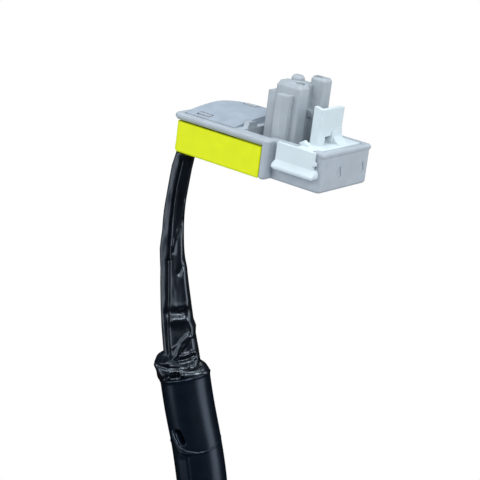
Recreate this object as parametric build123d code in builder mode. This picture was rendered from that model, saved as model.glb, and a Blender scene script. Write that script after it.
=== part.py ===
"""Right-angle airbag connector on its sleeved lead.

Millimetres. The origin is on the plug's axis, level with the housing's top rim, where the
connector seats. +Z leaves along the plug, +X runs to the head's free end, and -Y is the face
with the yellow wing and the lock's finger lip.
"""
import math
import os

from build123d import *

# ---- housing, measured from the plug's axis ------------------------------------------------
body_length = 31.05
body_width = 16.5
body_height = 6.9
head_reach = 11.05       # to the head's free end
front_reach = 9.0
rim_height = 1.2         # thickness of the rim over the cable case
rim_overhang = 0.1       # how far the rim stands out over the head's free end
head_step = 2.1          # how far the head stands back from the front face
step_reach = 0.9         # from the plug's axis to that step
head_start = 7.4         # from the plug's axis back to the head's inner end wall
head_wall = 1.25
end_wall = 1.2           # the head's free end
recess_front = 6.75      # from the plug's axis to the recess in the rim beside the tower
recess_depth = 0.6
wedge_length = 3.0       # ramped block on the head's inner wall
wedge_height = 1.05
head_floor = 1.3
front_corner = 0.8       # corner radii seen from above
back_corner = 7.0
head_corner = 0.9
rim_corner = 0.5         # the rim's two corners over the head's free end
edge_break = 0.3         # bevel round the rim's top edge and the head's bottom
rim_bevel = 0.5          # bevel below the rim's outer edge

# ---- cover plate ---------------------------------------------------------------------------
rim_width = 1.2
cover_thickness = 0.9
cover_crown = 1.2        # height of its crown over the rim
ledge_width = 0.6        # shelf in the rim that carries it
window_length = 3.0      # clip windows
window_width = 1.5
clip_length = 2.5
clip_width = 0.9
clip_rise = 0.1          # how far the clips stand over the cover
clip_from_end = 3.6      # from the cover's end back to the front clip
clip_stagger = 1.5       # how much further back the rear clip is
clip_inset = 1.5         # from the cover's long edges in to the clips

# ---- yellow cable case ---------------------------------------------------------------------
case_height = 5.45
case_overhang = 0.7      # how far the rim stands out over the case's end
rim_gap = 0.25           # shadow gap below the rim
case_wall = 0.75
case_floor = 1.0
wing_thickness = 1.7
wing_end = 0.4           # from the plug's axis back to the wing's end

# ---- plug tower ----------------------------------------------------------------------------
front_lobe_length = 5.1
front_lobe_depth = 3.1
front_lobe_height = 9.3
rear_lobe_length = 3.35
rear_lobe_depth = 2.55
rear_lobe_height = 10.4
side_lobe_length = 2.2
side_lobe_depth = 2.1
side_lobe_height = 9.8
web_height = 9.0         # web that ties the three lobes together
lobe_gap = 0.9           # slit between the front lobe and the two behind it
lobe_corner = 0.5
round_corner = 1.2       # the larger round on the rear lobe's inner front corner
crown_bevel = 0.45       # bevel round a lobe's crown: its height and how far it draws in
crown_inset = 0.35
front_crown_bevel = 0.8
front_crown_inset = 0.5
key_length = 2.5         # front key, along the body
key_bevel = 0.8
key_height = 7.3
side_key_length = 2.7
side_key_height = 7.15
side_key_round = 0.8
lug_top = 4.9
base_height = 4.4        # foot of the tower, in the head's well
base_reach = 4.6
lug_height = 1.5

# ---- lock slider ---------------------------------------------------------------------------
lock_travel = 1.8
tray_thickness = 0.8
bridge_margin = 1.05     # from the well's end to the bridge
fin_height = 6.1
fin_thickness = 0.9
fin_depth = 6.4          # its longer leg, front to back
fin_length = 1.8         # its shorter leg, along the body
boss_height = 2.4
boss_depth = 2.9
boss_rise = 0.25
flare_height = 2.2       # hollow flare from the fin down to the tray
flare_reach = 2.2
lock_window = 1.3
leg_length = 2.8         # guide legs below the tray
skirt_length = 7.8
skirt_thickness = 0.8
skirt_height = 3.2
lip_length = 8.7
lip_height = 1.6
lip_reach = 1.6
lip_round = 0.8
bridge_length = 3.2

# ---- contacts and wires --------------------------------------------------------------------
pin_bore = 1.05          # the bore that the igniter's pin enters
socket_diameter = 1.7
socket_depth = 5.0
front_contact_x = 1.0
front_contact_y = -2.05
rear_contact_x = 2.0
rear_contact_y = 1.7
front_wire_z = -3.0
rear_wire_z = -4.5
tail_size = 0.8
crimp_diameter = 1.6
wire_diameter = 1.2
strip_thickness = 0.25   # shorting clip
strip_width = 1.5
strip_y = -0.45
strip_height = 1.1
ferrite_length = 4.5
ferrite_margin = 0.65    # ferrite left round each wire hole
guide_thickness = 0.9

# ---- lead ----------------------------------------------------------------------------------
sleeve_diameter = 4.6
sleeve_wall = 0.4
sleeve_from = 0.25       # along the lead, from the case to the sleeve's end
tube_diameter = 8.9
tube_wall = 0.9
tape_diameter = 9.3
tape_length = 4.4
tape_from = 37.4         # along the lead, from the case to the tape
joint_from = 55.0        # along the lead, from the case to where the two tubes meet
tube_end_gap = 1.5       # bare stretch before the far connector
# the middle of the lead from the case to the far connector, in X and Z, chosen by hand
lead_route = [
    (-17.9, -7.0), (-18.6, -13.0), (-19.2, -20.0), (-18.2, -28.0), (-15.9, -36.5), (-13.6, -44.5),
    (-10.6, -53.0), (-7.0, -61.5), (-4.3, -70.5), (-2.6, -80.0), (-2.2, -89.0),
]
lead_y = -7.0

# ---- far connector -------------------------------------------------------------------------
end_length = 17.0
end_width = 6.2          # along X
end_breadth = 9.6        # along Y, across its two contacts
end_pitch = 2.5
end_wire_reach = 3.6     # how far the wires go in before they are crimped
end_cavity = 2.1
end_corner = 0.8
end_socket_length = 8.0
end_mouth = 1.0          # from the mating end in to the sockets
catch_height = 3.0       # latch's catch
catch_from = 3.0         # from the mating end to the catch
catch_reach = 1.0
end_lock_length = 5.0
end_lock_from = 8.0      # from the mating end to the secondary lock
end_lock_width = 3.2

# ---- clearances ----------------------------------------------------------------------------
slide_gap = 0.15         # round the moving lock
fit_gap = 0.1            # between pieces that are pushed together
wire_gap = 0.1           # round a wire

# ---- levels and lines that the sizes above give ----------------------------------------------
left, right = head_reach - body_length, head_reach
front, back = -front_reach, body_width - front_reach
bottom = -body_height
head_right = right - rim_overhang
head_front = front + head_step
head_left = -head_start
well_left, well_right = head_left + head_wall, head_right - end_wall
well_front, well_back = head_front + head_wall, back - head_wall
well_floor = bottom + head_floor
case_top = -rim_height - rim_gap
case_bottom = case_top - case_height
case_left = left + case_overhang
lead_x = lead_route[0][0]
wire_spacing = wire_diameter + fit_gap / 2
case_right = head_left - fit_gap
wire_hole = wire_diameter + 2 * wire_gap
EPS = 0.01


def middle(span):
    return (span[0] + span[1]) / 2


def size(span):
    return span[1] - span[0]


def block(x_span, y_span, z_span, corner=0.0, mode=Mode.ADD):
    """An upright block of the open part, its plan corners rounded."""
    with BuildSketch(Plane.XY.offset(z_span[0])) as plan:
        with Locations((middle(x_span), middle(y_span))):
            if corner:
                RectangleRounded(size(x_span), size(y_span), corner)
            else:
                Rectangle(size(x_span), size(y_span))
    extrude(plan.sketch, amount=size(z_span), mode=mode)


def outline(corners, radii, height):
    """A plan with straight sides, each corner rounded by its own radius."""
    with BuildSketch(Plane.XY.offset(height)) as plan:
        with BuildLine():
            Polyline(*corners, close=True)
        make_face()
        for corner, radius in zip(corners, radii):
            if radius:
                fillet(plan.vertices().sort_by_distance((*corner, height))[0], radius)
    return plan.sketch


def bore(centre, diameter, z_span, mode=Mode.SUBTRACT):
    """An upright round hole or post at centre, from one height to another."""
    with BuildSketch(Plane.XY.offset(z_span[0])) as ring:
        with Locations(centre):
            Circle(diameter / 2)
    extrude(ring.sketch, amount=size(z_span), mode=mode)


def cross_bore(x_span, y, z, diameter, mode=Mode.SUBTRACT):
    """A round hole or rod along the body."""
    with BuildSketch(Plane(origin=(x_span[0], y, z), x_dir=(0, 1, 0), z_dir=(1, 0, 0))) as ring:
        Circle(diameter / 2)
    extrude(ring.sketch, amount=size(x_span), mode=mode)


# ---- outer shell: rim, corner post and open-topped head --------------------------------------
rim_corners = [(left, front), (step_reach, front), (step_reach, head_front), (right, head_front),
               (right, back), (left, back)]
rim_radii = [front_corner, front_corner, 0, rim_corner, rim_corner, back_corner]
post_left = -wing_end + 2 * fit_gap
head_corners = [(head_left, head_front), (post_left, head_front), (post_left, front),
                (step_reach, front), (step_reach, head_front), (head_right, head_front),
                (head_right, back), (head_left, back)]
head_radii = [0, 0, 0, front_corner, 0, head_corner, head_corner, 0]
cover_left, cover_right = left + rim_width, head_left
cover_front, cover_back = front + rim_width, back - rim_width
cover_corner = back_corner - rim_width
crown_y = middle((cover_front, cover_back)) + 2.5
cover_bottom = -cover_thickness
bridge_right = well_right - bridge_margin
bridge_x = (bridge_right - bridge_length, bridge_right)
# the two clips face each other across the cover
clip_spots = [(cover_left + clip_from_end, cover_front + clip_inset, 0.3 * cover_crown + clip_rise),
              (cover_left + clip_from_end + clip_stagger, cover_back - clip_inset, cover_crown + clip_rise)]


def cover_plan(height, inset):
    """The cover's outline, drawn in by inset, with its large round corner at the back."""
    corners = [(cover_left + inset, cover_front + inset), (cover_right - fit_gap, cover_front + inset),
               (cover_right - fit_gap, cover_back - inset), (cover_left + inset, cover_back - inset)]
    return outline(corners, [0.5, 0.2, 0.2, cover_corner - inset], height)


with BuildPart() as outer_shell:
    extrude(outline(rim_corners, rim_radii, rim_bevel - rim_height),
            amount=rim_height - edge_break - rim_bevel)
    extrude(outline(rim_corners, rim_radii, rim_bevel - rim_height), amount=-rim_bevel, taper=40)
    extrude(outline(rim_corners, rim_radii, -edge_break), amount=edge_break, taper=40)
    extrude(outline(head_corners, head_radii, bottom + edge_break),
            amount=body_height - 2 * edge_break)
    extrude(outline(head_corners, head_radii, bottom + edge_break), amount=-edge_break, taper=40)
    # the well that holds the plug and the lock
    block((well_left, well_right), (well_front, well_back), (well_floor, EPS), 0.5, Mode.SUBTRACT)
    # the opening for the cover, and the narrower one below its ledge
    extrude(cover_plan(cover_bottom - fit_gap, 0), amount=rim_height, mode=Mode.SUBTRACT)
    extrude(cover_plan(-rim_height - EPS, ledge_width), amount=rim_height, mode=Mode.SUBTRACT)
    # sprung clips on tongues from the ledge, up through the cover's windows
    for clip_x, clip_y, clip_top in clip_spots:
        toward = cover_front if clip_y < 0 else cover_back
        tongue = sorted((clip_y, toward))
        block((clip_x - clip_length / 2, clip_x + clip_length / 2), tongue,
              (-rim_height, cover_bottom - fit_gap))
        block((clip_x - clip_length / 2, clip_x + clip_length / 2),
              (clip_y - clip_width / 2, clip_y + clip_width / 2), (-rim_height, clip_top), 0.2)
    # recess in the rim, beside the tower's front
    block((well_left, step_reach - head_wall + 0.15), (-recess_front, well_front + 0.1),
          (-recess_depth, EPS), 0.3, Mode.SUBTRACT)
    # ramped block on the head's inner wall
    with BuildSketch(Plane.YZ.offset(head_left + fit_gap)) as wedge:
        with BuildLine():
            Polyline((well_front, -EPS), (well_front + 0.6, wedge_height),
                     (well_front + wedge_length - 0.8, wedge_height - 0.1),
                     (well_front + wedge_length, -EPS), close=True)
        make_face()
    extrude(wedge.sketch, amount=head_wall - 2 * fit_gap)
    # slots for the two wires through the head's inner wall
    for wire_y, wire_z in ((front_contact_y, front_wire_z), (rear_contact_y, rear_wire_z)):
        cross_bore((head_left - 0.5, well_left + 0.5), wire_y, wire_z, wire_hole)
    # notch in the front wall for the lock's bridge, with room for its travel
    block((bridge_x[0] - slide_gap, bridge_x[1] + slide_gap), (head_front - 1, well_front + 0.1),
          (-tray_thickness - lock_travel - 2 * slide_gap, 1), 0, Mode.SUBTRACT)
    # two drop-shaped dimples in the free end
    for dimple_y in (-1.4, 5.4):
        end_face = Plane(origin=(head_right, dimple_y, -4.3), x_dir=(0, 1, 0), z_dir=(1, 0, 0))
        with BuildSketch(end_face) as drop:
            Circle(0.55)
            with BuildLine():
                Polyline((-0.52, 0.18), (0, 1.6), (0.52, 0.18), close=True)
            make_face()
        extrude(drop.sketch, amount=-0.15, mode=Mode.SUBTRACT)
outer_shell.part.label = "outer_shell"

# ---- cover plate: crowned, with two clip windows ---------------------------------------------
with BuildPart() as cover_plate:
    extrude(cover_plan(cover_bottom, fit_gap), amount=cover_thickness + cover_crown)
    with BuildSketch(Plane.YZ.offset(left - 1)) as crown:
        with BuildLine():
            rising = ThreePointArc((cover_front, 0.08), (crown_y, cover_crown - EPS),
                                   (cover_back, cover_crown - 0.1))
            Polyline(rising @ 1, (cover_back, 2 * cover_crown), (cover_front, 2 * cover_crown), rising @ 0)
        make_face()
    extrude(crown.sketch, amount=body_length, mode=Mode.SUBTRACT)
    for clip_x, clip_y, _ in clip_spots:
        block((clip_x - window_length / 2, clip_x + window_length / 2),
              (clip_y - window_width / 2, clip_y + window_width / 2),
              (-rim_height, 2 * cover_crown), 0.25, Mode.SUBTRACT)
cover_plate.part.label = "cover_plate"

# ---- cable case ------------------------------------------------------------------------------
case_corners = [(case_left, front), (-wing_end, front), (-wing_end, front + wing_thickness),
                (case_right, front + wing_thickness), (case_right, back - fit_gap),
                (case_left, back - fit_gap)]
case_radii = [front_corner, 0.3, 0, 0, 0, back_corner - fit_gap]
pocket_corners = [(case_left + case_wall, front + case_wall), (case_right + 1, front + case_wall),
                  (case_right + 1, back - fit_gap - case_wall),
                  (case_left + case_wall, back - fit_gap - case_wall)]
pocket_floor = case_bottom + case_floor
port_x = (lead_x - wire_hole / 2, lead_x + wire_hole / 2)
port_y = (lead_y - (wire_spacing + wire_hole) / 2, lead_y + (wire_spacing + wire_hole) / 2)
with BuildPart() as cable_case:
    extrude(outline(case_corners, case_radii, case_bottom + edge_break), amount=case_height - edge_break)
    extrude(outline(case_corners, case_radii, case_bottom + edge_break), amount=-edge_break, taper=40)
    extrude(outline(pocket_corners, [0.2, 0, 0, back_corner - case_wall - 0.5], pocket_floor),
            amount=case_height, mode=Mode.SUBTRACT)
    # collar round the port where the wires leave
    block((case_left + 0.2, port_x[1] + 0.8), (front + 0.2, port_y[1] + 0.8),
          (case_bottom + edge_break, pocket_floor + 0.4))
    block(port_x, port_y, (case_bottom - 1, case_top), wire_hole / 2 - 0.02, Mode.SUBTRACT)
cable_case.part.label = "cable_case"

# ---- plug insert: foot in the well, two lobes, a side lobe and two keys -----------------------
base_left, base_right = -base_reach, base_reach
base_front, base_back = well_front + slide_gap, well_back - slide_gap
base_top = well_floor + base_height
front_lobe_x = (2.2 - front_lobe_length, 2.2)
front_lobe_y = (front_contact_y - front_lobe_depth / 2, front_contact_y + front_lobe_depth / 2)
rear_lobe_y = (front_lobe_y[1] + lobe_gap, front_lobe_y[1] + lobe_gap + rear_lobe_depth)
rear_lobe_x = (base_right - 0.4 - rear_lobe_length, base_right - 0.4)
side_lobe_x = (base_left + 1.6, base_left + 1.6 + side_lobe_length)
side_lobe_y = (rear_lobe_y[0] - 0.2, rear_lobe_y[0] - 0.2 + side_lobe_depth)
key_x = (-1.4, key_length - 1.4)
side_key_x = (base_left + 0.3, base_left + 0.3 + side_key_length)
cavity = socket_diameter + 2 * fit_gap
contacts = ((front_contact_x, front_contact_y, front_wire_z, front_lobe_height),
            (rear_contact_x, rear_contact_y, rear_wire_z, rear_lobe_height))
crown_skin = 0.8         # crown over each cavity
wire_start = base_left + 0.6


def lobe(x_span, y_span, top, radii, bevel=crown_bevel, inset=crown_inset):
    """A tower with rounded corners whose crown is drawn in by a bevel."""
    def ring(height, drawn_in):
        low_x, high_x = x_span[0] + drawn_in, x_span[1] - drawn_in
        low_y, high_y = y_span[0] + drawn_in, y_span[1] - drawn_in
        corners = [(low_x, low_y), (high_x, low_y), (high_x, high_y), (low_x, high_y)]
        return outline(corners, [max(radius - drawn_in, 0.1) for radius in radii], height)

    extrude(ring(base_top - 0.5, 0), amount=top - bevel - base_top + 0.5)
    loft([ring(top - bevel, 0), ring(top, inset)], ruled=True)


with BuildPart() as plug_insert:
    block((base_left, base_right), (base_front, base_back), (well_floor, base_top), 0.4)
    lobe(front_lobe_x, front_lobe_y, front_lobe_height, [lobe_corner] * 4,
         front_crown_bevel, front_crown_inset)
    lobe(rear_lobe_x, rear_lobe_y, rear_lobe_height, [round_corner, lobe_corner, lobe_corner, lobe_corner])
    lobe(side_lobe_x, side_lobe_y, side_lobe_height, [0.9] * 4)
    # the web that ties the three lobes together below their crowns
    block((side_lobe_x[0] + 0.5, rear_lobe_x[0] + 1), (front_lobe_y[1] - 0.5, side_lobe_y[1] - 0.4),
          (base_top - 0.5, web_height))
    # keys: one in front, with one bevelled flank, and a broad one at the side
    key_front = base_front
    with BuildSketch(Plane.XY.offset(base_top - 0.5)) as key:
        with BuildLine():
            Polyline((key_x[0], front_lobe_y[0] + 0.6), (key_x[0], key_front + 0.2),
                     (key_x[0] + 0.2, key_front), (key_x[1] - key_bevel, key_front),
                     (key_x[1], key_front + key_bevel),
                     (key_x[1], front_lobe_y[0] + 0.6), close=True)
        make_face()
    extrude(key.sketch, amount=key_height - base_top + 0.5)
    side_key_y = (front_lobe_y[0] + 0.1, rear_lobe_y[0] - lobe_gap)
    with BuildSketch(Plane.XZ.offset(-side_key_y[1])) as side_key:
        with Locations((middle(side_key_x), middle((base_top - 0.5, side_key_height)))):
            Rectangle(size(side_key_x), side_key_height - base_top + 0.5)
        fillet(side_key.vertices().sort_by_distance((side_key_x[0], side_key_y[1], side_key_height))[0],
               side_key_round)
    extrude(side_key.sketch, amount=size(side_key_y))
    block((side_key_x[1] - 0.6, front_lobe_x[0] + 1), (front_lobe_y[0] + 0.6, front_lobe_y[0] + 1.6),
          (base_top - 0.5, side_key_height))
    # V-shaped lug between the lobes, over the slot beside the lock
    with BuildSketch(Plane.YZ.offset(front_lobe_x[1] - 0.9)) as lug:
        with BuildLine():
            Polyline((front_lobe_y[1] - 0.4, lug_top), (rear_lobe_y[0] + 0.4, lug_top),
                     (middle((front_lobe_y[1], rear_lobe_y[0])), lug_top - lug_height), close=True)
        make_face()
    extrude(lug.sketch, amount=1.7)
    # a cavity for each terminal, open at the crown and below, with a slot for its tail
    for contact_x, contact_y, tail_z, crown_z in contacts:
        bore((contact_x, contact_y), cavity, (well_floor - 1, crown_z - crown_skin))
        bore((contact_x, contact_y), pin_bore + 0.5, (crown_z - 1, crown_z + 1))
        slot = crimp_diameter / 2 + fit_gap
        block((base_left - 1, contact_x), (contact_y - slot, contact_y + slot),
              (well_floor - 1, tail_z + slot), 0, Mode.SUBTRACT)
plug_insert.part.label = "plug_insert"


# ---- terminals -------------------------------------------------------------------------------
def terminal(contact_x, contact_y, tail_z, crown_z):
    """A turned socket for the igniter's pin, a bent tail and a crimp round the wire."""
    socket_top = crown_z - crown_skin - fit_gap
    crimp_x = (base_left - 1.4, base_left + 1.2)
    with BuildPart() as piece:
        bore((contact_x, contact_y), socket_diameter, (tail_z - tail_size / 2, socket_top), Mode.ADD)
        block((crimp_x[1] - 0.3, contact_x), (contact_y - tail_size / 2, contact_y + tail_size / 2),
              (tail_z - tail_size / 2, tail_z + tail_size / 2))
        bore((contact_x, contact_y), pin_bore, (socket_top - socket_depth, socket_top + 1))
        cross_bore(crimp_x, contact_y, tail_z, crimp_diameter, Mode.ADD)
        cross_bore((crimp_x[0] - 1, wire_start), contact_y, tail_z, wire_diameter + wire_gap / 2)
    return piece


terminal_a = terminal(*contacts[0])
terminal_a.part.label = "terminal_a"
terminal_b = terminal(*contacts[1])
terminal_b.part.label = "terminal_b"

# ---- shorting clip: a hairpin strip against the insert's foot ---------------------------------
clip_y = (strip_y - strip_width / 2, strip_y + strip_width / 2)
clip_bend = 0.35
with BuildPart() as shorting_clip:
    with BuildSketch(Plane.XZ.offset(-clip_y[0])) as strip:
        with BuildLine():
            inner_x = base_right + strip_thickness
            Polyline((base_right, well_floor + 0.1), (base_right, strip_height))
            ThreePointArc((base_right, strip_height),
                          (inner_x + clip_bend, strip_height + clip_bend + strip_thickness),
                          (inner_x + 2 * clip_bend + strip_thickness, strip_height))
            Polyline((inner_x + 2 * clip_bend + strip_thickness, strip_height),
                     (inner_x + 2 * clip_bend + strip_thickness, -1.2), (inner_x + 2 * clip_bend, -1.2),
                     (inner_x + 2 * clip_bend, strip_height))
            ThreePointArc((inner_x + 2 * clip_bend, strip_height),
                          (inner_x + clip_bend, strip_height + clip_bend), (inner_x, strip_height))
            Polyline((inner_x, strip_height), (inner_x, well_floor + 0.1), (base_right, well_floor + 0.1))
        make_face()
    extrude(strip.sketch, amount=-strip_width)
shorting_clip.part.label = "shorting_clip"

# ---- lock slider -----------------------------------------------------------------------------
clip_reach = base_right + 2 * strip_thickness + 2 * clip_bend
tray_x = (base_right + 2 * slide_gap, well_right - slide_gap)
tray_y = (well_front + slide_gap, well_back - slide_gap)
tray_z = (-tray_thickness, 0)
fin_x = (clip_reach + 2 * slide_gap, clip_reach + 2 * slide_gap + fin_thickness)
fin_y = (front_lobe_y[0] + 0.55, front_lobe_y[0] + 0.55 + fin_depth)
fin_front_x = (fin_x[1] - fin_length, fin_x[1])
skirt_back = head_front - slide_gap
skirt_y = (skirt_back - skirt_thickness, skirt_back)
skirt_x = (tray_x[1] + 0.1 - skirt_length, tray_x[1] + 0.1)
lip_x = (skirt_x[0] - 0.1, skirt_x[0] - 0.1 + lip_length)
with BuildPart() as lock_slider:
    block(tray_x, tray_y, tray_z, 0.4)
    # relief that clears the shorting clip and the rear lobe
    block((tray_x[0] - 1, fin_x[0]), (clip_y[0] - slide_gap, clip_y[1] + slide_gap),
          (-2, 1), 0, Mode.SUBTRACT)
    # the L-shaped fin, its front leg sloping down to the corner
    block(fin_x, fin_y, (-tray_thickness, fin_height))
    block(fin_front_x, (fin_y[0], fin_y[0] + fin_thickness), (-tray_thickness, fin_height))
    with BuildSketch(Plane.XZ.offset(-fin_y[0])) as slope:
        with BuildLine():
            Polyline((fin_front_x[0], fin_height - 0.1), (fin_front_x[1], fin_height - 0.1),
                     (fin_front_x[1], fin_height), (fin_front_x[0], fin_height + 0.35), close=True)
        make_face()
    extrude(slope.sketch, amount=-fin_thickness)
    fillet(lock_slider.edges().filter_by(Axis.Z).sort_by_distance((fin_x[1], fin_y[0], 3))[0], 0.35)
    # boss at the fin's foot, round-topped, and the flare that runs from it down to the tray
    with BuildSketch(Plane.YZ.offset(fin_x[1] - 0.3)) as boss:
        with Locations((fin_y[1] - boss_depth / 2 - 0.1, boss_height / 2 - 0.2)):
            RectangleRounded(boss_depth, boss_height + 0.4, 0.7)
    extrude(boss.sketch, amount=boss_rise + 0.3)
    with BuildSketch(Plane.XZ.offset(-fin_y[1])) as flare:
        with BuildLine():
            hollow = ThreePointArc((fin_x[1], flare_height),
                                   (fin_x[1] + 0.3 * flare_reach, 0.3 * flare_height),
                                   (fin_x[1] + flare_reach, 0))
            Polyline(hollow @ 1, (fin_x[1] + flare_reach, -tray_thickness / 2),
                     (fin_x[1] - 0.3, -tray_thickness / 2), (fin_x[1] - 0.3, flare_height), hollow @ 0)
        make_face()
    extrude(flare.sketch, amount=boss_depth - 0.3)
    # window that looks on to the shorting clip
    block((fin_x[0] - 1, fin_x[1] + boss_rise + 0.5), (clip_y[0] - 0.1, clip_y[1] + 0.1),
          (0.05, 0.05 + lock_window), 0, Mode.SUBTRACT)
    # guide legs down into the well, clear of its floor by the travel
    leg_z = (-tray_thickness - leg_length, -tray_thickness)
    for leg_y in ((tray_y[0], tray_y[0] + 1.6), (tray_y[1] - 1.6, tray_y[1])):
        block((tray_x[1] - 1.6, tray_x[1]), leg_y, leg_z, 0.3)
    # bridge over the front wall, skirt down its outside and the finger lip along the skirt's foot
    block(bridge_x, (skirt_y[0], tray_y[0] + 0.5), tray_z)
    block(skirt_x, skirt_y, (-skirt_height, 0), 0.15)
    foot = -skirt_height - lip_height + 0.2
    edge = skirt_back - lip_reach
    with BuildPart(mode=Mode.PRIVATE) as lip_form:
        with BuildSketch(Plane.YZ.offset(lip_x[0])) as lip:
            with BuildLine():
                Polyline((skirt_back, foot), (edge + 0.35, foot))
                ThreePointArc((edge + 0.35, foot), (edge, foot + 0.45), (edge + 0.25, foot + 0.95))
                Polyline((edge + 0.25, foot + 0.95), (skirt_y[0], foot + lip_height + 0.1),
                         (skirt_back, foot + lip_height + 0.1), (skirt_back, foot))
            make_face()
        extrude(lip.sketch, amount=size(lip_x))
        with BuildSketch(Plane.XZ.offset(-skirt_back)) as ends:
            with Locations((middle(lip_x), foot + lip_height / 2 + 0.05)):
                RectangleRounded(size(lip_x), lip_height + 0.1 + 4 * EPS, lip_round)
        extrude(ends.sketch, amount=2 * lip_reach, mode=Mode.INTERSECT)
    add(lip_form.part)
    # wedge tooth on the bridge, and two small stops at the skirt's free end
    with BuildSketch(Plane.XZ.offset(-tray_y[0])) as tooth:
        with BuildLine():
            Polyline((bridge_x[0] - 0.7, -0.5), (bridge_x[0] + 1.5, -0.5), (bridge_x[0] + 1.5, 0),
                     (bridge_x[0] + 0.8, 0.45), (bridge_x[0] + 0.1, 0.85), (bridge_x[0] - 0.7, 0.35),
                     close=True)
        make_face()
    extrude(tooth.sketch, amount=-0.8)
    for stop_z in (-1.9, -3.3):
        block((skirt_x[1] - 0.2, skirt_x[1] + 0.35), skirt_y, (stop_z - 0.3, stop_z + 0.3), 0.1)
lock_slider.part.label = "lock_slider"

# ---- ferrite and wire guide in the cable case --------------------------------------------------
guide_x = (case_right - fit_gap - guide_thickness, case_right - fit_gap)
ferrite_x = (guide_x[0] - 0.5 - ferrite_length, guide_x[0] - 0.5)
ferrite_rim = wire_hole / 2 + ferrite_margin
ferrite_y = (front_contact_y - ferrite_rim, rear_contact_y + ferrite_rim)
ferrite_z = (pocket_floor, front_wire_z + ferrite_rim)
with BuildPart() as ferrite_core:
    block(ferrite_x, ferrite_y, ferrite_z, 0.4)
    for _, wire_y, wire_z, _ in contacts:
        cross_bore((ferrite_x[0] - 1, ferrite_x[1] + 1), wire_y, wire_z, wire_hole)
ferrite_core.part.label = "ferrite_core"

with BuildPart() as wire_guide:
    block(guide_x, (ferrite_y[0] - 0.4, ferrite_y[1] + 0.4), ferrite_z, 0.2)
    for _, wire_y, wire_z, _ in contacts:
        cross_bore((guide_x[0] - 1, guide_x[1] + 1), wire_y, wire_z, wire_hole)
        block((guide_x[0] - 1, guide_x[1] + 1), (wire_y - wire_hole / 2, wire_y + wire_hole / 2),
              (wire_z, ferrite_z[1] + 1), 0, Mode.SUBTRACT)
wire_guide.part.label = "wire_guide"


# ---- the lead --------------------------------------------------------------------------------
def rounded(points):
    """A path of straight runs joined by tangent arcs, each as large as its two runs allow."""
    corners = [Vector(*point) for point in points]
    radii = []
    for before, here, after in zip(corners, corners[1:], corners[2:]):
        runs = (here - before, after - here)
        half_turn = math.radians(runs[0].get_angle(runs[1])) / 2
        radii.append(0.45 * min(run.length for run in runs) / math.tan(half_turn))
    print("radii", [round(radius, 1) for radius in radii])
    with BuildLine() as path:
        FilletPolyline(*points, radius=radii)
    return path.wire()


def tube(path, outer, inner=0.0):
    """A tube, or a solid wire, along the path."""
    with BuildPart() as piece:
        with BuildSketch(Plane(origin=path @ 0, z_dir=path % 0)) as ring:
            Circle(outer / 2)
            if inner:
                Circle(inner / 2, mode=Mode.SUBTRACT)
        sweep(ring.sketch, path=path)
    return piece


def wire_path(contact_y, tail_z, side):
    """From the crimp, through the case and the sleeve, to the far connector's crimp."""
    beside = lead_y + side * wire_spacing / 2
    apart = lead_y + side * end_pitch / 2
    end_x, end_z = lead_route[-1]
    return rounded([(wire_start - wire_gap, contact_y, tail_z), (lead_x, contact_y, tail_z),
                    (lead_x, beside, tail_z)]
                   + [(x, beside, z) for x, z in lead_route[:-1]]
                   + [(end_x, apart, end_z), (end_x, apart, end_z - end_wire_reach)])


wire_a = tube(wire_path(front_contact_y, front_wire_z, -1), wire_diameter)
wire_a.part.label = "wire_a"
wire_b = tube(wire_path(rear_contact_y, rear_wire_z, 1), wire_diameter)
wire_b.part.label = "wire_b"

lead_path = rounded([(x, lead_y, z) for x, z in lead_route])


def stretch(start, end):
    """The part of the lead's path between two distances along it."""
    return lead_path.trim(start / lead_path.length, end / lead_path.length)


tape_end = tape_from + tape_length
lead_end = lead_path.length - tube_end_gap
sleeve = tube(stretch(sleeve_from, lead_end), sleeve_diameter, sleeve_diameter - 2 * sleeve_wall)
sleeve.part.label = "sleeve"

# soft tape wound into a roll over the tube's mouth
tape_path = stretch(tape_from, tape_end)
with BuildPart() as tape_wrap:
    with BuildSketch(Plane(origin=tape_path @ 0, z_dir=tape_path % 0)) as tape_ring:
        Circle(tape_diameter / 2)
        Circle(sleeve_diameter / 2 + fit_gap, mode=Mode.SUBTRACT)
    extrude(tape_ring.sketch, amount=tape_length - fit_gap / 2)
    tape_rims = tape_wrap.edges().filter_by(GeomType.CIRCLE).sort_by(SortBy.RADIUS)[-2:]
    fillet(tape_rims, 1.6)
tape_wrap.part.label = "tape_wrap"

outer_tube = tube(stretch(tape_end, joint_from), tube_diameter, tube_diameter - 2 * tube_wall)
outer_tube.part.label = "outer_tube"
lower_tube = tube(stretch(joint_from, lead_end), tube_diameter, tube_diameter - 2 * tube_wall)
lower_tube.part.label = "lower_tube"

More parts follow.
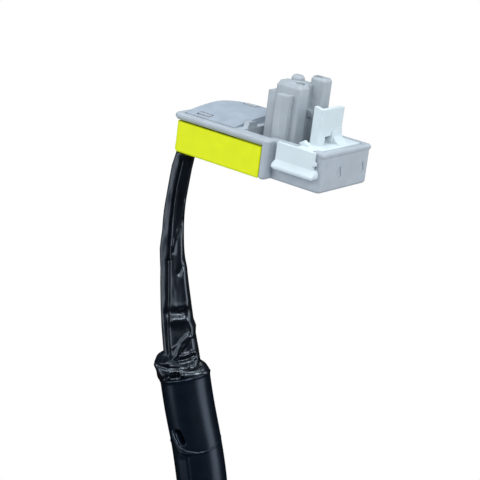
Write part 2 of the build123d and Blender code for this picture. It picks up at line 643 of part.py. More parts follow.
# ---- far connector ---------------------------------------------------------------------------
end_x, end_top = lead_route[-1][0], lead_route[-1][1] + 0.6
end_z = (end_top - end_length, end_top)
end_crimp_top = lead_route[-1][1] - 1.4
end_x_span = (end_x - end_width / 2, end_x + end_width / 2)
end_y_span = (lead_y - end_breadth / 2, lead_y + end_breadth / 2)
latch_y = (lead_y - end_lock_width / 2, lead_y + end_lock_width / 2)
end_lock_x = (end_x_span[1] - 0.7, end_x_span[1] + 0.3)
end_lock_z = (end_z[0] + end_lock_from, end_z[0] + end_lock_from + end_lock_length)
catch_z = (end_z[0] + catch_from, end_z[0] + catch_from + catch_height)
with BuildPart() as end_housing:
    block(end_x_span, end_y_span, end_z, end_corner)
    fillet(end_housing.faces().sort_by(Axis.Z)[-1].edges(), 0.5)
    for side in (-1, 1):
        contact_y = lead_y + side * end_pitch / 2
        bore((end_x, contact_y), wire_hole, (end_crimp_top, end_z[1] + 1))
        block((end_x - end_cavity / 2, end_x + end_cavity / 2),
              (contact_y - end_cavity / 2, contact_y + end_cavity / 2),
              (end_z[0] - 1, end_crimp_top + fit_gap), 0, Mode.SUBTRACT)
    # seat of the secondary lock, and the latch's catch below it
    block((end_lock_x[0] - fit_gap, end_x_span[1] + 1), (latch_y[0] - fit_gap, latch_y[1] + fit_gap),
          end_lock_z, 0, Mode.SUBTRACT)
    with BuildSketch(Plane.XZ.offset(-latch_y[0])) as catch:
        with BuildLine():
            Polyline((end_x_span[1] - 0.2, catch_z[1]), (end_x_span[1] + catch_reach, catch_z[1]),
                     (end_x_span[1] - 0.2, catch_z[0]), close=True)
        make_face()
    extrude(catch.sketch, amount=-size(latch_y))
end_housing.part.label = "end_housing"

with BuildPart() as end_lock:
    block(end_lock_x, latch_y, (end_lock_z[0] + fit_gap, end_lock_z[1] - fit_gap), 0.2)
end_lock.part.label = "end_lock"


def end_terminal(side):
    """A square receptacle with a round crimp above it."""
    contact_y = lead_y + side * end_pitch / 2
    half = end_cavity / 2 - fit_gap
    box_z = (end_z[0] + end_mouth, end_z[0] + end_mouth + end_socket_length)
    with BuildPart() as piece:
        block((end_x - half, end_x + half), (contact_y - half, contact_y + half), box_z, 0.2)
        block((end_x - half + 0.35, end_x + half - 0.35), (contact_y - half + 0.35, contact_y + half - 0.35),
              (box_z[0] - 1, box_z[1] - 1), 0, Mode.SUBTRACT)
        bore((end_x, contact_y), crimp_diameter, (box_z[1] - 0.3, end_crimp_top), Mode.ADD)
        bore((end_x, contact_y), wire_diameter + wire_gap / 2,
             (lead_route[-1][1] - end_wire_reach - wire_gap, end_crimp_top + 1))
    return piece


end_terminal_a = end_terminal(-1)
end_terminal_a.part.label = "end_terminal_a"
end_terminal_b = end_terminal(1)
end_terminal_b.part.label = "end_terminal_b"

# ---- files -----------------------------------------------------------------------------------
os.makedirs("parts", exist_ok=True)
for piece in (outer_shell, cover_plate, cable_case, plug_insert, terminal_a, terminal_b, shorting_clip,
              lock_slider, ferrite_core, wire_guide, wire_a, wire_b, sleeve, tape_wrap, outer_tube,
              lower_tube, end_housing, end_lock, end_terminal_a, end_terminal_b):
    export_step(piece.part, f"parts/{piece.part.label}.step")
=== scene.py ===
"""The airbag connector on its lead: its finishes, the creased sleeve, the gathered roll, the tubes, the
studio and the camera. The lead's lengths are in millimetres, and MM makes them metres for a mesh.
"""
import math

import bpy
import numpy as np
from mathutils import Matrix, Vector, noise


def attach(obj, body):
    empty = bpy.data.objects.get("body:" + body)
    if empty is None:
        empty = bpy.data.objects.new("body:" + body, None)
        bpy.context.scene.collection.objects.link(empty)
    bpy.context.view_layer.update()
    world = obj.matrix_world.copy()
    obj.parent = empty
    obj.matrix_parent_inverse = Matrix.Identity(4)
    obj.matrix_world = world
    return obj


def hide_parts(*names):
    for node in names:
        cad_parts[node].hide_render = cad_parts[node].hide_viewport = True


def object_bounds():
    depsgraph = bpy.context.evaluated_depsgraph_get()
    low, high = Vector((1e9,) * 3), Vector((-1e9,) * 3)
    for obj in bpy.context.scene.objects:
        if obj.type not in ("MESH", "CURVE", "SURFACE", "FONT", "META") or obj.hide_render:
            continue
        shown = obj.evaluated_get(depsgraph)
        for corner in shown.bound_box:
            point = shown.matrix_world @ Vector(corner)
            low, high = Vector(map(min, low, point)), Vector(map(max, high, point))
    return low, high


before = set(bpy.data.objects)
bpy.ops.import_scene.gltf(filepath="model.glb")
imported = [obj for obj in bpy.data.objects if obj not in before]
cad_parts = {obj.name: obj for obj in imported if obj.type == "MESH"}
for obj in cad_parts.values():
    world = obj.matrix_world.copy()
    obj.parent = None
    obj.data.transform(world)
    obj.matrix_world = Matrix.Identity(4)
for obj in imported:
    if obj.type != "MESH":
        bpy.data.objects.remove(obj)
cad_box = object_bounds()
MM = 0.001

# ---- camera: where the photographer stood ----------------------------------------------------
CAMERA_AT = Vector((150.586, -217.860, 65.008)) * MM
LOOKS_AT = Vector((-2.275, -9.0, -18.509)) * MM
CAMERA_ROLL = math.radians(7.381)
LENS = 118.326           # mm on a 36 mm sensor

# ---- lead --------------------------------------------------------------------------------------
LEAD_Y = -7.0
# the same points as the solid lead, in mm
LEAD_ROUTE = [
    (-17.9, -7.0), (-18.6, -13.0), (-19.2, -20.0), (-18.2, -28.0), (-15.9, -36.5), (-13.6, -44.5),
    (-10.6, -53.0), (-7.0, -61.5), (-4.3, -70.5), (-2.6, -80.0), (-2.2, -89.0),
]
SLEEVE_FROM = 0.2        # distances along the lead, in mm
SLEEVE_END = 82.0
BUNCH_FROM = 37.2
BUNCH_END = 43.2
TUBE_FROM = 41.9
TUBE_END = 82.4
TUBE_RADIUS = 4.62
TUBE_WALL = 0.7
TUBE_OVERLAP = 2.5       # how far the upper tube runs on inside the lower one's mouth
TUBE_AROUND, TUBE_ALONG = ((240, 170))   # points round a tube and along it


# ---- finishes ----------------------------------------------------------------------------------
COAT_ROUGHNESS = 0.25
SCATTER_REACH = (0.0012, 0.0012, 0.0014)   # metres, for red, green and blue
MOTTLE_SCALE = 420                         # patches of uneven colour, per metre
EDGE_SAMPLES = 6
BLUISH = (0.62, 0.78, 1.0)


def finish_material(name, colour, roughness=0.4, grain=0.0, grain_size=0.1, mottle=0.0, metallic=0.0,
                    coat=0.0, scatter=0.0, specular=0.5, gloss_tint=(1, 1, 1), round_edges=0.0):
    """A principled surface with a slightly uneven colour, fine grain and softened edges."""
    material = bpy.data.materials.new(name)
    material.use_nodes = True
    nodes, links = material.node_tree.nodes, material.node_tree.links
    shader = nodes["Principled BSDF"]
    shader.inputs["Roughness"].default_value = roughness
    shader.inputs["Metallic"].default_value = metallic
    shader.inputs["Specular IOR Level"].default_value = specular
    shader.inputs["Specular Tint"].default_value = (*gloss_tint, 1)
    shader.inputs["Coat Weight"].default_value = coat
    shader.inputs["Coat Roughness"].default_value = COAT_ROUGHNESS
    shader.inputs["Subsurface Weight"].default_value = scatter
    shader.inputs["Subsurface Radius"].default_value = SCATTER_REACH
    place = nodes.new("ShaderNodeTexCoord")
    cloud = nodes.new("ShaderNodeTexNoise")
    cloud.inputs["Scale"].default_value = MOTTLE_SCALE
    cloud.inputs["Detail"].default_value = 4
    links.new(place.outputs["Object"], cloud.inputs["Vector"])
    ramp = nodes.new("ShaderNodeValToRGB")
    ramp.color_ramp.elements[0].position = 0.3
    ramp.color_ramp.elements[1].position = 0.7
    ramp.color_ramp.elements[0].color = (*[c * (1 - mottle) for c in colour], 1)
    ramp.color_ramp.elements[1].color = (*[min(1, c * (1 + mottle)) for c in colour], 1)
    links.new(cloud.outputs["Fac"], ramp.inputs["Fac"])
    links.new(ramp.outputs["Color"], shader.inputs["Base Color"])
    if grain:
        fine = nodes.new("ShaderNodeTexNoise")
        fine.inputs["Scale"].default_value = 1 / (grain_size * MM)
        fine.inputs["Detail"].default_value = 3
        links.new(place.outputs["Object"], fine.inputs["Vector"])
        bump = nodes.new("ShaderNodeBump")
        bump.inputs["Strength"].default_value = 1
        bump.inputs["Distance"].default_value = grain * MM
        links.new(fine.outputs["Fac"], bump.inputs["Height"])
        links.new(bump.outputs["Normal"], shader.inputs["Normal"])
        if round_edges:
            edges = nodes.new("ShaderNodeBevel")
            edges.samples = EDGE_SAMPLES
            edges.inputs["Radius"].default_value = round_edges * MM
            links.new(edges.outputs["Normal"], bump.inputs["Normal"])
    return material


GREY = finish_material("grey_housing", (0.40, 0.45, 0.50), 0.42, grain=0.006, grain_size=0.25, mottle=0.05,
                       scatter=0.05, round_edges=0.3)
TEXTURED = finish_material("grey_spark", (0.33, 0.385, 0.45), 0.5, grain=0.03, grain_size=0.16, mottle=0.10)
INSERT = finish_material("grey_tower", (0.40, 0.445, 0.485), 0.4, grain=0.006, grain_size=0.25, mottle=0.06,
                         scatter=0.05, round_edges=0.35)
YELLOW = finish_material("lime_yellow", (0.72, 0.80, 0.006), 0.45, grain=0.006, grain_size=0.2, mottle=0.03,
                         scatter=0.05, specular=0.2)
WHITE = finish_material("lock_white", (0.62, 0.71, 0.75), 0.4, grain=0.004, grain_size=0.25, mottle=0.03,
                        scatter=0.12, round_edges=0.2)
CONTACT = finish_material("tinned_contact", (0.6, 0.6, 0.58), 0.3, metallic=1.0, mottle=0.05)
SPRING = finish_material("spring_strip", (0.5, 0.5, 0.5), 0.25, metallic=1.0, mottle=0.05)
FERRITE = finish_material("ferrite_body", (0.03, 0.03, 0.033), 0.6, grain=0.01, mottle=0.1)
WIRE = finish_material("wire_black", (0.012, 0.012, 0.013), 0.45, mottle=0.1)
FILM = finish_material("sleeve_film", (0.002, 0.004, 0.008), 0.32, grain=0.003, grain_size=0.6, mottle=0.25,
                       coat=0.7, specular=1.0, gloss_tint=BLUISH)
TUBE = finish_material("tube_skin", (0.001, 0.004, 0.010), 0.33, grain=0.012, grain_size=0.5, mottle=0.25,
                       specular=0.75, gloss_tint=BLUISH)
END = finish_material("end_black", (0.02, 0.02, 0.022), 0.45, grain=0.006, mottle=0.1)

FINISHES = {
    "outer_shell": GREY, "cover_plate": TEXTURED, "cable_case": YELLOW, "plug_insert": INSERT,
    "terminal_a": CONTACT, "terminal_b": CONTACT, "shorting_clip": SPRING, "lock_slider": WHITE,
    "ferrite_core": FERRITE, "wire_guide": GREY, "wire_a": WIRE, "wire_b": WIRE, "end_housing": END,
    "end_lock": GREY, "end_terminal_a": CONTACT, "end_terminal_b": CONTACT,
}
for node, material in FINISHES.items():
    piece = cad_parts[node]
    piece.data.materials.clear()
    piece.data.materials.append(material)


# ---- the lead's line, read from its own curve --------------------------------------------------
def lead_line():
    """The lead's centreline as points in metres, with the distance along it at each."""
    curve = bpy.data.curves.new("lead_line", "CURVE")
    curve.dimensions = "3D"
    curve.resolution_u = 24
    spline = curve.splines.new("NURBS")
    spline.points.add(len(LEAD_ROUTE) - 1)
    for point, (x, z) in zip(spline.points, LEAD_ROUTE):
        point.co = (x * MM, LEAD_Y * MM, z * MM, 1)
    spline.order_u = 3
    spline.use_endpoint_u = True
    holder = bpy.data.objects.new("lead_line", curve)
    mesh = bpy.data.meshes.new_from_object(holder)
    points = [vertex.co.copy() for vertex in mesh.vertices]
    bpy.data.objects.remove(holder)
    bpy.data.meshes.remove(mesh)
    distances = [0.0]
    for before, here in zip(points, points[1:]):
        distances.append(distances[-1] + (here - before).length)
    return points, distances


LINE, ALONG = lead_line()
CAMERA_TURN = math.radians(36.2)   # how far round to the right the camera stands
CAMERA_SIDE = Vector((math.cos(CAMERA_TURN), math.sin(CAMERA_TURN), 0))
TANGENT_BACK, TANGENT_AHEAD = 4, 3   # points of the line that its direction is taken over


def lead_frame(distance):
    """The lead's middle, its right-hand side and its near side, at a distance in mm along it."""
    wanted = min(max(distance * MM, 0), ALONG[-1])
    index = max(1, next((i for i, d in enumerate(ALONG) if d >= wanted), len(ALONG) - 1))
    before, after = LINE[index - 1], LINE[index]
    share = (wanted - ALONG[index - 1]) / (ALONG[index] - ALONG[index - 1])
    middle = before.lerp(after, share)
    first, last = LINE[max(index - TANGENT_BACK, 0)], LINE[min(index + TANGENT_AHEAD, len(LINE) - 1)]
    tangent = (last - first).normalized()
    side = (CAMERA_SIDE - CAMERA_SIDE.dot(tangent) * tangent).normalized()
    near = side.cross(tangent)
    if near.y > 0:
        near = -near
    return middle, side, near


def skin(name, rings, closed_ends=False):
    """A mesh through rings of points, each ring closed on itself."""
    vertices = [point for ring in rings for point in ring]
    count = len(rings[0])
    faces = [(r * count + i, r * count + (i + 1) % count, (r + 1) * count + (i + 1) % count,
              (r + 1) * count + i)
             for r in range(len(rings) - 1) for i in range(count)]
    if closed_ends:
        faces.append(tuple(range(count))[::-1])
        faces.append(tuple((len(rings) - 1) * count + i for i in range(count)))
    mesh = bpy.data.meshes.new(name)
    mesh.from_pydata([tuple(v) for v in vertices], [], faces)
    mesh.update()
    for polygon in mesh.polygons:
        polygon.use_smooth = True
    piece = bpy.data.objects.new(name, mesh)
    bpy.context.scene.collection.objects.link(piece)
    return piece


# ---- soft surfaces -----------------------------------------------------------------------------
NEAR_POINTS, FAR_POINTS = ((180, 60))
EDGE_POWER = 6           # how squarely a soft section turns at its two edges
SOFTENING = 50           # passes that round the sections' corners
RELIEF_FADE = 1.6        # how soon folds reach their full height, going in from a soft section's edge
WRINKLE_STRETCH = 2.5    # how much longer wrinkles are along the lead than across it
SECTION_AT = (-1.0, -0.75, -0.5, -0.25, 0.0, 0.25, 0.5, 0.75, 1.0)   # left edge to right edge
NEAR_TURN = np.linspace(0, math.pi, NEAR_POINTS, endpoint=False)
TURN = np.concatenate([NEAR_TURN, np.linspace(math.pi, 2 * math.pi, FAR_POINTS, endpoint=False)])


def read_stations(stations, distances):
    """Listed (distance, value, ...) stations read at many distances, one column for each value."""
    table = np.array(stations, float)
    return np.stack([np.interp(distances, table[:, 0], column) for column in table[:, 1:].T], axis=1)


def soften(heights, times):
    """Rounds the corners of a field of heights, along the lead and across it."""
    for _ in range(times):
        wide = np.pad(heights, 1, mode="edge")
        heights = (wide[:-2, 1:-1] + wide[2:, 1:-1] + wide[1:-1, :-2] + wide[1:-1, 2:] + 4 * heights) / 8
    return heights


def distance_to_path(distance, across, points):
    """How far places on a surface are from a path of (distance, across) points, in mm."""
    nearest = np.full_like(distance, np.inf)
    for (from_d, from_x), (to_d, to_x) in zip(points, points[1:]):
        run_d, run_x = to_d - from_d, to_x - from_x
        share = ((distance - from_d) * run_d + (across - from_x) * run_x) / (run_d ** 2 + run_x ** 2)
        share = np.clip(share, 0, 1)
        beside = np.hypot(distance - from_d - share * run_d, across - from_x - share * run_x)
        nearest = np.minimum(nearest, beside)
    return nearest


def fold_relief(distance, across, folds):
    """What folds add to a surface, in mm. Each has a height, a width and a path."""
    relief = np.zeros_like(distance)
    for height, width, points in folds:
        relief += height * np.exp(-(distance_to_path(distance, across, points) / width) ** 2)
    return relief


def wrinkles(distance, across, height, size):
    """Fine uneven waves over a surface, longer along the lead than across it."""
    waves = [noise.noise(Vector((x / size, d / (WRINKLE_STRETCH * size), 0.5)))
             for d, x in zip(distance.flat, across.flat)]
    return height * np.array(waves).reshape(distance.shape)


def along_lead(distances, across, near):
    """Points in metres at distances along the lead, from their places across it and towards the viewer."""
    middle, side, front = (np.array(rows) for rows in zip(*[lead_frame(d) for d in distances]))
    offset = side[:, None, :] * across[:, :, None] + front[:, None, :] * near[:, :, None]
    return middle[:, None, :] + offset * MM


def soft_rings(distances, widths, sections, folds, wrinkle):
    """Rings whose near half follows sections and folds, and whose far half is plain."""
    left, right, depth = read_stations(widths, distances).T
    share = np.cos(TURN)[None, :]
    across = share * np.where(share > 0, right[:, None], left[:, None])
    rows = read_stations([(at, *heights) for at, heights in sections], distances)
    heights = np.stack([np.interp(share[0], SECTION_AT, row) for row in rows])
    distance = np.broadcast_to(distances[:, None], across.shape)
    edge = (1 - np.abs(share) ** EDGE_POWER).clip(0) ** (1 / EDGE_POWER)
    relief = fold_relief(distance, across, folds) + wrinkles(distance, across, *wrinkle)
    front = soften(heights, SOFTENING) * edge + relief * np.minimum(1, RELIEF_FADE * edge)
    back = depth[:, None] * np.sin(TURN)[None, :]
    return along_lead(distances, across, np.where(np.sin(TURN)[None, :] > 0, front, back))


# ---- sleeve ------------------------------------------------------------------------------------
# distance along the lead, half width to the left, half width to the right, depth behind, all in mm
SLEEVE_WIDTHS = [
    (0.0, 1.68, 1.72, 1.35), (3.0, 2.0, 1.65, 1.4), (9.0, 1.9, 1.75, 1.5), (15.0, 1.88, 2.05, 1.6),
    (18.4, 2.25, 2.18, 1.7), (20.0, 2.25, 2.3, 1.8), (22.0, 2.25, 2.6, 1.9), (29.0, 2.8, 2.85, 2.3),
    (31.6, 2.95, 2.95, 2.4), (32.9, 3.02, 3.3, 2.6), (34.2, 3.05, 3.1, 2.6), (37.5, 3.15, 3.3, 2.9),
    (39.4, 3.2, 3.35, 3.0), (40.6, 3.0, 3.0, 2.9), (41.6, 2.4, 2.4, 2.3), (82.0, 2.25, 2.25, 2.25),
]
# how far the film stands towards the viewer, at the nine places of SECTION_AT
SLEEVE_SECTIONS = [
    (0.0, (0.9, 1.1, 1.3, 1.35, 1.35, 1.35, 1.3, 1.2, 1.0)),
    (4.0, (0.9, 1.08, 1.34, 1.62, 1.5, 1.45, 1.4, 1.3, 1.1)),
    (14.0, (0.9, 1.08, 1.34, 1.62, 1.55, 1.5, 1.45, 1.4, 1.2)),
    (17.0, (0.85, 1.05, 1.32, 1.6, 1.65, 1.8, 2.0, 2.1, 1.9)),
    (22.0, (0.8, 1.05, 1.38, 1.7, 1.9, 2.2, 2.5, 2.8, 2.6)),
    (28.0, (0.8, 1.15, 1.55, 1.9, 2.25, 2.65, 3.0, 3.3, 3.0)),
    (30.0, (0.8, 1.15, 1.5, 1.8, 2.1, 2.35, 2.6, 2.8, 2.4)),
    (34.0, (0.9, 1.35, 1.8, 2.1, 2.3, 2.5, 2.7, 2.8, 2.4)),
    (38.0, (1.0, 1.6, 2.1, 2.5, 2.8, 3.0, 3.1, 3.0, 2.3)),
    (40.4, (1.0, 1.6, 2.1, 2.6, 3.1, 3.3, 3.3, 3.1, 2.4)),
    (41.1, (0.8, 1.2, 1.6, 1.9, 2.1, 2.2, 2.2, 2.0, 1.5)),
    (41.8, (0.8, 1.2, 1.6, 1.9, 2.1, 2.2, 2.2, 2.0, 1.5)),
    (82.0, (1.5, 1.7, 1.9, 2.1, 2.2, 2.1, 1.9, 1.7, 1.5)),
]
SLEEVE_FOLDS = [
    # the long crease between the two wires, and the thin ridge beside it
    (-0.36, 0.2, [(1.5, -0.4), (6.2, -0.5), (8.9, -0.46), (11.8, -0.3), (14.6, -0.33), (16.9, -0.44),
                 (20.4, -0.6)]),
    (-0.36, 0.34, [(20.4, -0.6), (24.4, -0.85), (27.2, -1.15), (30.0, -1.6), (34.0, -1.95), (38.0, -2.1)]),
    (0.13, 0.2, [(7.0, -0.1), (9.8, 0.06), (12.6, 0.27), (15.5, 0.18), (18.3, 0.16)]),
    # the slanting folds that end at the crease, and the pinch at the right edge
    (0.15, 0.4, [(9.0, 1.7), (11.0, 1.3), (13.0, 0.9), (15.2, 0.5), (17.5, 0.1)]),
    (-0.18, 0.45, [(12.5, 1.9), (13.1, 1.78), (14.4, 1.2), (16.1, 0.65), (18.7, 0.3)]),
    (-0.3, 0.5, [(19.6, 2.4), (21.0, 2.0), (21.9, 1.6), (22.6, 1.3)]),
    # the hollow above the cross fold, the fold and the hollow under it
    (0.26, 0.6, [(28.8, 0.5), (28.6, 2.2)]),
    (-0.3, 0.75, [(30.0, -1.3), (29.9, 0.2), (30.0, 0.9)]),
    (0.3, 0.7, [(31.4, -0.9), (31.3, -0.1), (31.3, 1.3), (31.7, 2.1), (32.8, 2.5), (33.8, 2.6)]),
    (-0.12, 0.9, [(33.0, -1.1), (33.0, 0.2), (33.1, 1.2)]),
    # ridges that run down to the left from the right edge, each with its valley
    (0.1, 0.2, [(33.7, 2.1), (34.7, 0.9), (35.8, -0.3), (36.5, -1.4)]),
    (0.26, 0.36, [(34.2, 2.7), (35.1, 2.0), (35.9, 1.33), (36.4, 0.6), (37.3, 0.25)]),
    (-0.2, 0.24, [(34.9, 2.4), (35.8, 1.6), (36.6, 0.95), (37.3, 0.5)]),
    (0.32, 0.4, [(34.4, 1.9), (35.4, 0.66), (36.5, -0.16), (37.7, -0.6), (38.6, -1.6), (39.0, -2.6)]),
    # the V fold, the gathered end and the small ridge inside it
    (0.28, 0.34, [(38.0, 0.05), (37.9, 0.73), (37.7, 1.46), (37.4, 2.2), (37.3, 2.8)]),
    (-0.4, 0.4, [(38.7, -0.8), (38.6, 0.75), (38.3, 1.8), (38.1, 2.4)]),
    (0.34, 0.38, [(37.7, 3.1), (38.8, 3.0), (39.7, 2.75), (40.3, 2.3), (40.5, 1.6), (40.5, 0.6),
                 (40.3, -1.2)]),
    (0.14, 0.22, [(38.9, 1.9), (40.0, 1.3)]),
    (-0.3, 0.35, [(39.0, 2.5), (39.7, 2.1)]),
]


SLEEVE_WRINKLE = (0.05, 0.8)   # height and size
CROWDED_FROM = 27              # from here on the folds are close together
HIDDEN_FROM = 41.8             # from here on the tube hides the film


def make_sleeve():
    """The film, with rings closest together where its folds are, and few inside the tube."""
    step = 1
    distances = np.concatenate([np.arange(SLEEVE_FROM, CROWDED_FROM, 0.2 * step),
                                np.arange(CROWDED_FROM, HIDDEN_FROM, 0.1 * step),
                                np.arange(HIDDEN_FROM + 0.2, SLEEVE_END, 2), [SLEEVE_END]])
    rings = soft_rings(distances, SLEEVE_WIDTHS, SLEEVE_SECTIONS, SLEEVE_FOLDS, SLEEVE_WRINKLE)
    return skin("sleeve_film", rings, closed_ends=True)


sleeve = make_sleeve()
sleeve.data.materials.append(FILM)


# ---- tubes -------------------------------------------------------------------------------------
# the lower tube's mouth: angle from straight towards the viewer to its right, and distance
MOUTH_LINE = [(-180, 54.0), (-90, 53.4), (-63, 52.3), (-52, 50.9), (-45, 52.4), (-37, 53.9), (-22, 54.8),
              (-9, 55.1), (5, 55.4), (30, 55.4), (44, 55.1), (59, 54.6), (90, 54.0), (180, 54.0)]
NOTCH = [(51.7, -2.6), (52.6, -2.4), (53.4, -2.15)]   # (distance, across) of the dark gap above the mouth
NOTCH_DEPTH = 2.0
NOTCH_REACH = 0.5        # half its width
NOTCH_POWER = 6          # how steep its sides are
TUBE_LEAN = 0.12         # how much further the tubes stand out to the right than to the left
TUBE_UNEVEN = 0.08       # how uneven their roundness is
TOP_TILT = 0.4           # how much higher the upper tube's mouth is on its right
LIP_STEPS, INNER_STEPS = 7, 12


def facing(angles):
    """Angles round the lead as degrees from straight towards the viewer to the right."""
    return (90 - np.degrees(angles) + 180) % 360 - 180


def mouth_at(angles):
    """The distance along the lead of the lower tube's mouth at each angle."""
    return np.interp(facing(angles), *zip(*MOUTH_LINE))


def bump(place, middle, width):
    """A smooth bump of height 1."""
    return np.exp(-((place - middle) / width) ** 2)


def step_up(place, width):
    """A smooth step from 0 to 1 where place passes 0."""
    return 1 / (1 + np.exp(-place / width))


def tube_radius(distance, angles):
    """The radius that both tubes share, slightly out of round."""
    uneven = [noise.noise(Vector((math.cos(a) * 1.3, math.sin(a) * 1.3, d * 0.12)))
              for d, a in zip(distance, angles)]
    return TUBE_RADIUS + TUBE_LEAN * np.cos(angles) + TUBE_UNEVEN * np.array(uneven)


def upper_radius(distance, angles, starts):
    """The upper tube: a rim at its mouth, a gap above the lower mouth, and a narrower hidden end."""
    radius = tube_radius(distance, angles)
    rim = 0.18 * bump(distance - starts, 0.2, 0.4)
    beside = distance_to_path(distance, radius * np.cos(angles), NOTCH) / NOTCH_REACH
    gap = NOTCH_DEPTH * np.exp(-beside ** NOTCH_POWER) * (np.sin(angles) > 0)
    tucked_in = 0.5 * step_up(distance - mouth_at(angles) - 0.4, 0.12)
    return radius + rim - gap - tucked_in


def lower_radius(distance, angles, starts):
    """The lower tube: a flared mouth with a raised lip, widest on the left, and a flattened strip below."""
    turned = facing(angles)
    inside = distance - starts
    leftness = bump(turned, -38, 26)
    flare_end = 0.3 + 0.9 * leftness
    flare = (0.08 + 0.32 * leftness) * step_up(flare_end - inside, 0.1)
    lip = (0.06 + 0.16 * leftness) * bump(inside, flare_end - 0.1, 0.16)
    flat = -0.11 * np.clip(1 - ((turned + 37) / 12) ** 2, 0, None)
    ridge_and_groove = 0.09 * bump(turned, -15, 4) - 0.15 * bump(turned, -23, 2.5)
    strip = np.clip((distance - 56) / 0.6, 0, 1) * (flat + ridge_and_groove)
    return tube_radius(distance, angles) + flare + lip + strip


def lead_point(distance, across, near):
    middle, side, front = lead_frame(distance)
    return middle + (side * across + front * near) * MM


def tube_rings(starts, ends, radius_of):
    """Rings of a tube with a rounded mouth: starts and ends give the distance at each angle."""
    angles = np.linspace(0, 2 * math.pi, TUBE_AROUND, endpoint=False)
    half = TUBE_WALL / 2
    # for each ring: its share of the length, how far in from the mouth, how far in from the outside
    rows = [(0, half * (1 - math.sin(t)), half * (1 + math.cos(t)))
            for t in np.linspace(0, math.pi, LIP_STEPS)[:-1]]
    rows += [(share, half, 0) for share in np.linspace(0, 1, TUBE_ALONG)]
    rows += [(share, half, TUBE_WALL) for share in np.linspace(1, 0, INNER_STEPS)]
    rings = []
    for share, from_mouth, inset in rows:
        distance = starts + (ends - starts) * share + from_mouth
        radius = radius_of(distance, angles, starts) - inset
        rings.append([lead_point(d, r * math.cos(a), r * math.sin(a))
                      for d, r, a in zip(distance, radius, angles)])
    return rings


def make_tubes():
    """The upper tube, which ends inside the lower one's mouth, and the lower tube."""
    angles = np.linspace(0, 2 * math.pi, TUBE_AROUND, endpoint=False)
    mouth = mouth_at(angles)
    top = TUBE_FROM - TOP_TILT * np.maximum(0, np.cos(angles))
    bottom = np.full(TUBE_AROUND, TUBE_END)
    upper = skin("outer_tube_skin", tube_rings(top, mouth + TUBE_OVERLAP, upper_radius))
    lower = skin("lower_tube_skin", tube_rings(mouth, bottom, lower_radius))
    for tube in (upper, lower):
        tube.data.materials.append(TUBE)
    return upper, lower


outer_tube, lower_tube = make_tubes()


# ---- the gathered roll over the upper tube's mouth ----------------------------------------------
# distances and widths as for the sleeve
BUNCH_WIDTHS = [
    (37.2, 3.6, 2.6, 2.6), (37.5, 4.2, 2.7, 3.0), (37.8, 4.5, 2.8, 3.3), (38.6, 4.96, 3.0, 3.6),
    (39.2, 5.17, 3.3, 3.8), (39.6, 5.05, 3.4, 3.9), (40.0, 4.9, 3.9, 4.0), (40.4, 4.85, 4.28, 4.2),
    (41.2, 4.85, 4.66, 4.4), (41.7, 4.75, 4.84, 4.4), (42.1, 4.4, 4.6, 4.0), (42.5, 3.8, 3.9, 3.7),
    (43.2, 3.7, 3.7, 3.6),
]
BUNCH_SECTIONS = [
    (37.2, (0.5, 0.6, 0.4, 0.2, 0.1, 0.1, 0.1, 0.1, 0.1)),
    (38.0, (1.3, 1.8, 1.9, 1.3, 0.8, 0.5, 0.4, 0.4, 0.4)),
    (38.7, (2.2, 3.1, 3.5, 2.9, 1.9, 1.0, 0.8, 0.8, 0.8)),
    (40.0, (2.3, 3.3, 3.9, 3.6, 3.0, 2.2, 1.6, 1.4, 1.4)),
    (41.0, (2.1, 3.2, 3.8, 3.9, 3.7, 3.6, 3.5, 3.3, 2.8)),
    (41.8, (2.0, 3.0, 3.6, 3.8, 3.8, 3.8, 3.7, 3.5, 3.0)),
    (42.5, (1.8, 2.6, 3.1, 3.4, 3.5, 3.5, 3.3, 2.9, 2.4)),
    (43.2, (1.8, 2.6, 3.1, 3.4, 3.5, 3.5, 3.3, 2.9, 2.4)),
]
BUNCH_FOLDS = [
    # the curled upper rim on the left and the valley under it
    (0.36, 0.38, [(37.9, -1.2), (38.3, -1.7), (38.7, -2.7), (38.6, -3.7), (38.3, -4.5)]),
    (-0.36, 0.34, [(39.1, -4.3), (39.5, -3.2), (39.9, -1.9), (40.1, -0.5)]),
    (0.3, 0.5, [(40.2, -4.4), (40.8, -3.9), (41.3, -3.3)]),
    # the lower rim, its slit, and the opening beside it with the small lump in it
    (0.28, 0.34, [(42.0, -4.5), (42.1, -3.75), (41.6, -2.75), (41.0, -2.28)]),
    (-0.45, 0.2, [(41.6, -3.4), (41.1, -2.75)]),
    (-1.2, 0.4, [(41.2, -1.9), (41.1, -1.2), (41.2, -0.9)]),
    (0.36, 0.3, [(41.3, -0.35), (41.2, 0.0)]),
]


BUNCH_WRINKLE = (0.04, 0.9)   # height and size


def make_bunch():
    distances = np.arange(BUNCH_FROM, BUNCH_END, 0.07)
    rings = soft_rings(distances, BUNCH_WIDTHS, BUNCH_SECTIONS, BUNCH_FOLDS, BUNCH_WRINKLE)
    return skin("bunch_roll", rings, closed_ends=True)


bunch = make_bunch()
bunch.data.materials.append(FILM)


# ---- what the soft pieces stand for ------------------------------------------------------------
for piece, node, finish_slot in ((sleeve, "sleeve", "black_sleeve"), (bunch, "tape_wrap", "black_sleeve"),
                                 (outer_tube, "outer_tube", "black_tube"),
                                 (lower_tube, "lower_tube", "black_tube")):
    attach(piece, "connector")
    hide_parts(node)


# ---- studio ------------------------------------------------------------------------------------
SKY = 0.455
SKY_TINT = (0.88, 0.94, 1.0)
SKY_IN_GLOSS = 0.015     # the surroundings are dim in reflections, so that the black film stays black
FLOOR_IN_GLOSS = 0.01
FLOOR_COLOUR = (0.85, 0.87, 0.9)
FLOOR_REACH = 1.2        # metres, as all places in the studio are
FLOOR_BELOW = 0.25       # how far it lies under the lead's end
LAMPS_AIM = Vector((-0.002, -0.005, -0.01))


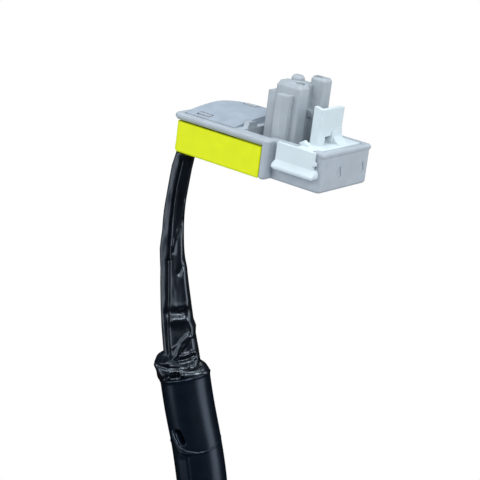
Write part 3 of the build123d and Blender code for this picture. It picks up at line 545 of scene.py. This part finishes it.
def by_ray(nodes, links, kinds):
    """One shader out of several: each kind of ray sees its own, the first being for diffuse light."""
    seen = nodes.new("ShaderNodeLightPath")
    shader = kinds[0][1]
    for ray, other in kinds[1:]:
        mix = nodes.new("ShaderNodeMixShader")
        links.new(seen.outputs[ray], mix.inputs["Fac"])
        links.new(shader, mix.inputs[1])
        links.new(other, mix.inputs[2])
        shader = mix.outputs["Shader"]
    return shader


def glow(nodes, kind, strength, colour=(1, 1, 1)):
    """The output of an emission or background node."""
    light = nodes.new(kind)
    light.inputs["Color"].default_value = (*colour, 1)
    light.inputs["Strength"].default_value = strength
    return light.outputs[0]


def studio_white():
    """Pale to light that falls on it, dim in reflections, and plain white where the camera sees it."""
    material = bpy.data.materials.new("studio_white")
    material.use_nodes = True
    nodes, links = material.node_tree.nodes, material.node_tree.links
    pale = nodes["Principled BSDF"]
    pale.inputs["Base Color"].default_value = (*FLOOR_COLOUR, 1)
    pale.inputs["Roughness"].default_value = 0.9
    shader = by_ray(nodes, links, [
        ("Is Diffuse Ray", pale.outputs["BSDF"]),
        ("Is Glossy Ray", glow(nodes, "ShaderNodeEmission", FLOOR_IN_GLOSS)),
        ("Is Camera Ray", glow(nodes, "ShaderNodeEmission", 1.0)),
    ])
    links.new(shader, nodes["Material Output"].inputs["Surface"])
    return material


def studio():
    floor_mesh = bpy.data.meshes.new("studio_floor")
    level = cad_box[0][2] - FLOOR_BELOW
    corners = [(x * FLOOR_REACH, y * FLOOR_REACH, level) for x, y in ((-1, -1), (1, -1), (1, 1), (-1, 1))]
    floor_mesh.from_pydata(corners, [], [(0, 1, 2, 3)])
    floor = bpy.data.objects.new("studio_floor", floor_mesh)
    bpy.context.scene.collection.objects.link(floor)
    floor_mesh.materials.append(studio_white())
    world = bpy.data.worlds.new("studio")
    bpy.context.scene.world = world
    world.use_nodes = True
    nodes, links = world.node_tree.nodes, world.node_tree.links
    sky = by_ray(nodes, links, [
        ("Is Diffuse Ray", glow(nodes, "ShaderNodeBackground", SKY, SKY_TINT)),
        ("Is Glossy Ray", glow(nodes, "ShaderNodeBackground", SKY_IN_GLOSS, SKY_TINT)),
        ("Is Camera Ray", glow(nodes, "ShaderNodeBackground", 1.0)),
    ])
    links.new(sky, nodes["World Output"].inputs["Surface"])


def lamp(name, at, size, power, colour=(1, 1, 1)):
    """A softbox in metres and watts, aimed at the connector."""
    light = bpy.data.lights.new(name, "AREA")
    light.shape = "RECTANGLE"
    light.size, light.size_y = size
    light.energy = power
    light.color = colour
    holder = bpy.data.objects.new(name, light)
    holder.location = at
    holder.rotation_euler = (LAMPS_AIM - Vector(at)).to_track_quat("-Z", "Y").to_euler()
    bpy.context.scene.collection.objects.link(holder)


studio()
lamp("key", (0.33, -0.29, 0.36), (0.16, 0.16), 1.25)
lamp("top_softbox", (-0.05, 0.05, 0.50), (0.40, 0.30), 2.0, (0.93, 0.97, 1.0))
lamp("right_softbox", (0.42, 0.18, 0.12), (0.32, 0.54), 1.0)
lamp("front_fill", (-0.127, -0.465, 0.246), (0.16, 0.14), 0.64)
lamp("left_softbox", (-0.29, -0.37, 0.0), (0.20, 0.46), 0.44, (0.95, 0.97, 1.0))


def camera():
    """A camera at its place, aimed and then rolled a little."""
    toward = (CAMERA_AT - LOOKS_AT).normalized()
    azimuth = math.atan2(toward.x, -toward.y)
    level_right = Vector((math.cos(azimuth), math.sin(azimuth), 0))
    level_up = toward.cross(level_right)
    right = math.cos(CAMERA_ROLL) * level_right + math.sin(CAMERA_ROLL) * level_up
    up = math.cos(CAMERA_ROLL) * level_up - math.sin(CAMERA_ROLL) * level_right
    data = bpy.data.cameras.new("camera")
    data.lens = LENS
    data.sensor_width = 36
    data.clip_start = 0.005
    holder = bpy.data.objects.new("camera", data)
    holder.matrix_world = Matrix.Translation(CAMERA_AT) @ Matrix((right, up, toward)).transposed().to_4x4()
    bpy.context.scene.collection.objects.link(holder)
    bpy.context.scene.camera = holder


camera()
bpy.context.scene.view_settings.view_transform = "Standard"
